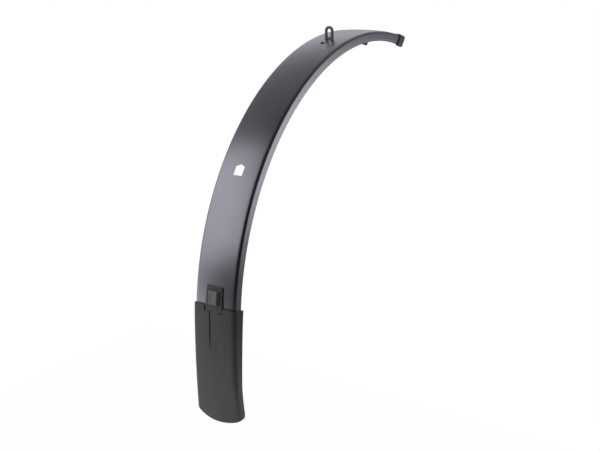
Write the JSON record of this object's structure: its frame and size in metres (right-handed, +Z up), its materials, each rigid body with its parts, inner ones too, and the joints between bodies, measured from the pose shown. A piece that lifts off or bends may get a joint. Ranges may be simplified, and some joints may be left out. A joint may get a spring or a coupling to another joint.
{
  "type": "bicycle mudguard",
  "caption": "Front bicycle mudguard: a rolled sheet channel with an upright slotted fork tab, a front end cap and a rubber flap held by a square press button.",
  "frame": {"origin": "middle of the fork tab's slot, on the tab's front face, which rests against the fork crown", "axes": "+X forward, out of the tab's front face; +Y to the rider's left, the width of the mudguard; +Z up, with the wheel upright"},
  "size_m": [0.4764, 0.0704, 0.5162],
  "materials": {
    "blade_sheet": "satin dark grey coating",
    "bracket_steel": "satin black coating",
    "rivet_metal": "satin black",
    "flap_rubber": "matte, lightly grained",
    "button_plastic": "satin black moulding",
    "spring_steel": "plain spring steel",
    "cap_plastic": "fine matte moulding"
  },
  "bodies": {
    "root": {"mudguard_blade": "blade_sheet", "fork_bracket": "bracket_steel", "bracket_rivet": "rivet_metal", "mudflap": "flap_rubber", "flap_button": "button_plastic", "button_retainer": "spring_steel", "front_end_cap": "cap_plastic"}
  },
  "joints": []
}
